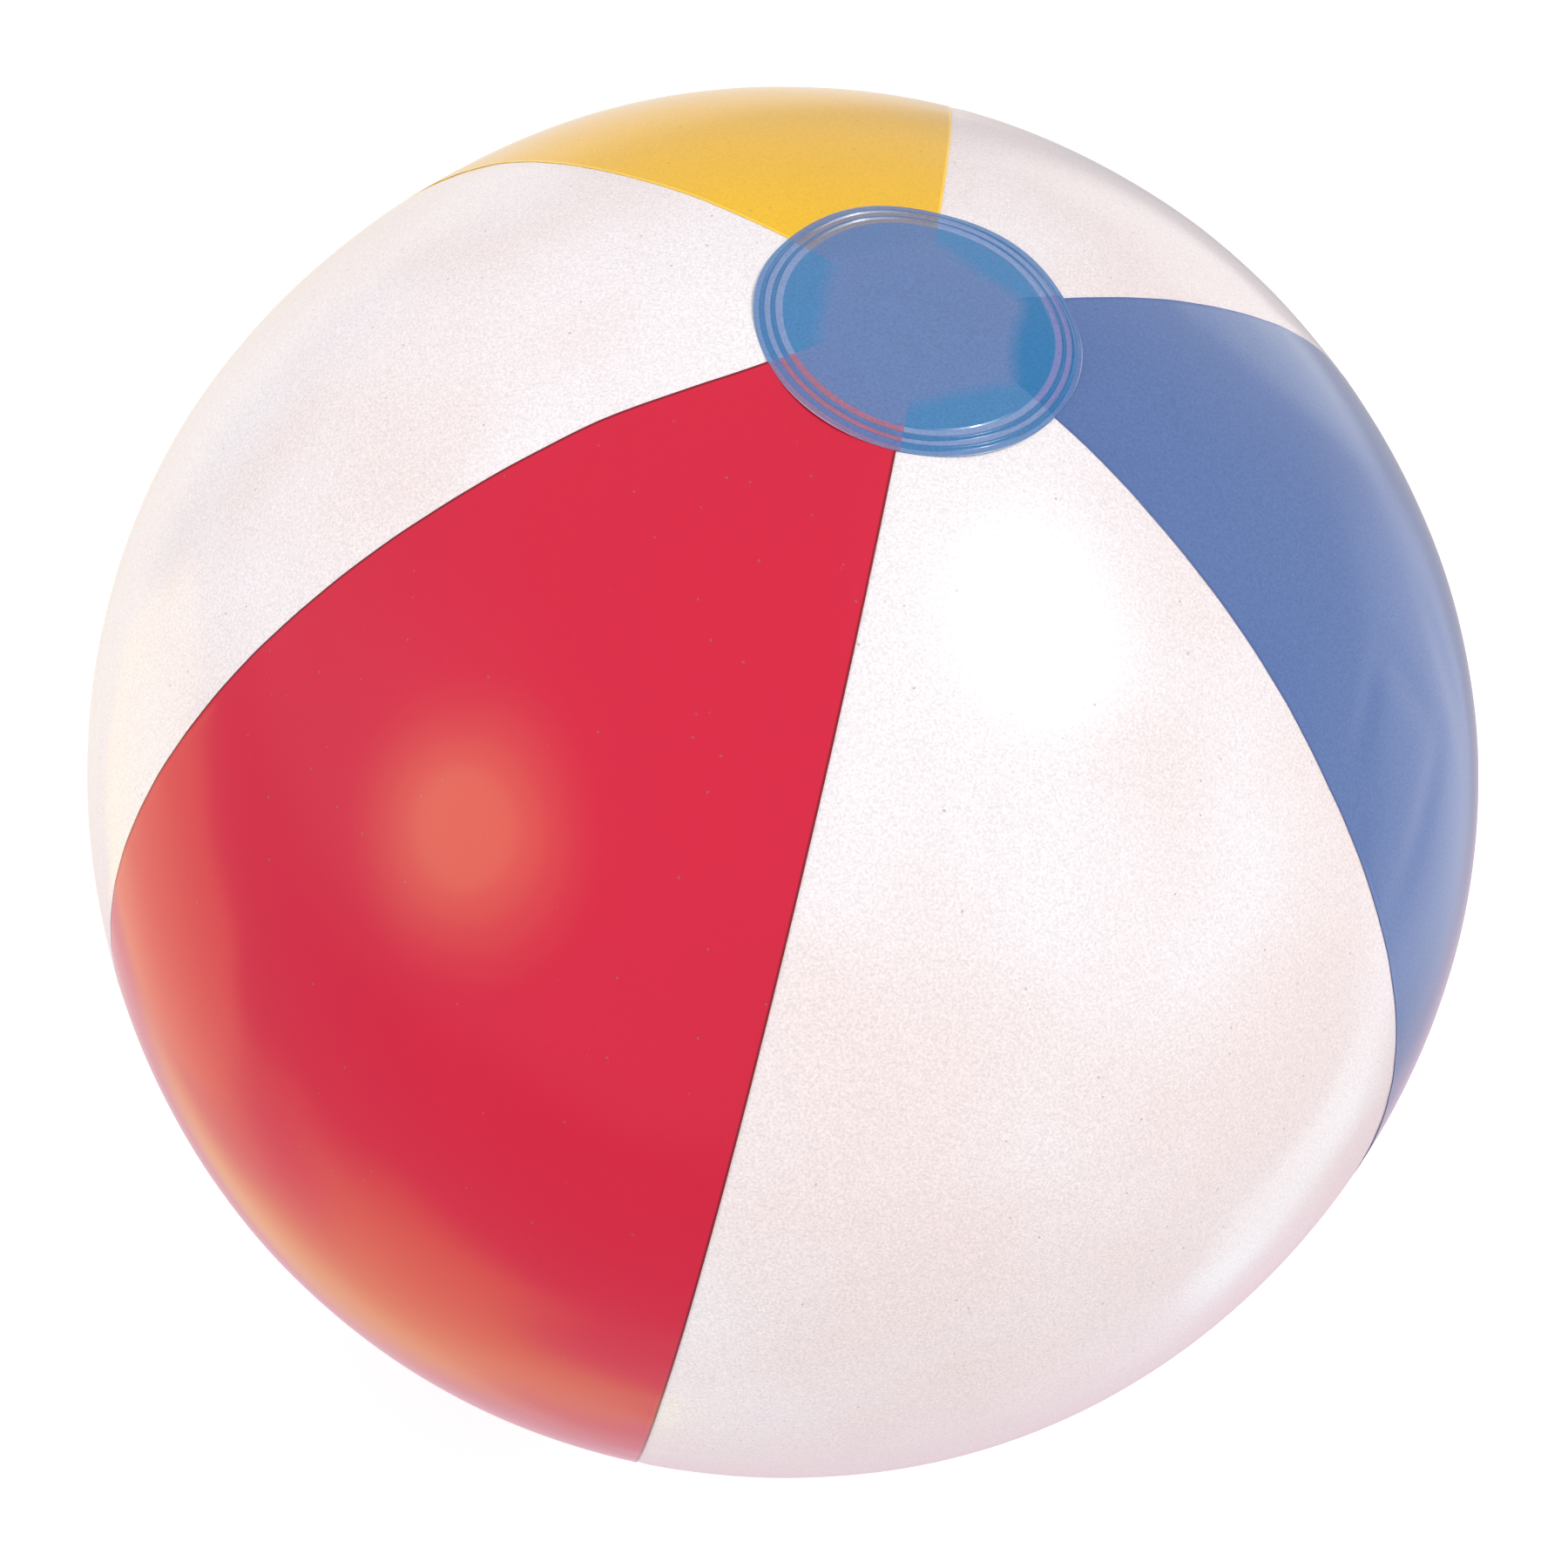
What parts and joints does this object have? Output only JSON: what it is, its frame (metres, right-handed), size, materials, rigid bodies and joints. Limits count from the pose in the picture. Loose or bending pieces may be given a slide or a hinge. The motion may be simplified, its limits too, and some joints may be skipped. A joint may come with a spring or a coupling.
{
  "type": "inflatable beach ball",
  "caption": "Blown-up round vinyl ball of red, white, blue and yellow gores, closed at both poles by blue discs, with a push-in plugged valve in one white gore.",
  "frame": {"origin": "centre of the ball", "axes": "+Z is the polar axis, from the lower polar disc to the upper one. -Y faces the seam between the red gore and the white gore beside it. -X is the valve's outward axis, in the middle of the white gore between the yellow and the red one."},
  "size_m": [0.4107, 0.4084, 0.409],
  "materials": {
    "red_vinyl": "glossy soft vinyl film, slightly translucent",
    "white_vinyl": "glossy soft vinyl film, milky",
    "blue_vinyl": "glossy soft vinyl film, slightly translucent",
    "yellow_vinyl": "glossy soft vinyl film, slightly translucent",
    "disc_vinyl": "glossy translucent vinyl film",
    "valve_vinyl": "soft moulded vinyl, satin"
  },
  "bodies": {
    "ball": {"gore_red": "red_vinyl", "gore_white_front": "white_vinyl", "gore_blue": "blue_vinyl", "gore_white_right": "white_vinyl", "gore_yellow": "yellow_vinyl", "gore_white_left": "white_vinyl", "polar_disc_top": "disc_vinyl", "polar_disc_bottom": "disc_vinyl", "valve_flange": "valve_vinyl", "valve_membrane": "valve_vinyl"},
    "stem": {"valve_stem": "valve_vinyl", "plug_tether": "valve_vinyl"},
    "plug": {"valve_plug": "valve_vinyl"},
    "flap": {"valve_flap": "valve_vinyl"}
  },
  "joints": [
    {"name": "stem_slide", "type": "slide", "parent": "ball", "child": "stem", "axis": [-1, 0, 0], "range_m": [0, 0.012], "deforming": ["valve_membrane"]},
    {"name": "plug_swing", "type": "hinge", "parent": "stem", "child": "plug", "pos_m": [-0.20255, 0, -0.006], "axis": [0, -1, 0], "range_deg": [0, 110], "deforming": ["plug_tether"]},
    {"name": "flap_swing", "type": "hinge", "parent": "stem", "child": "flap", "pos_m": [-0.18945, 0, 0.0052], "axis": [0, -1, 0], "range_deg": [0, 50]}
  ]
}
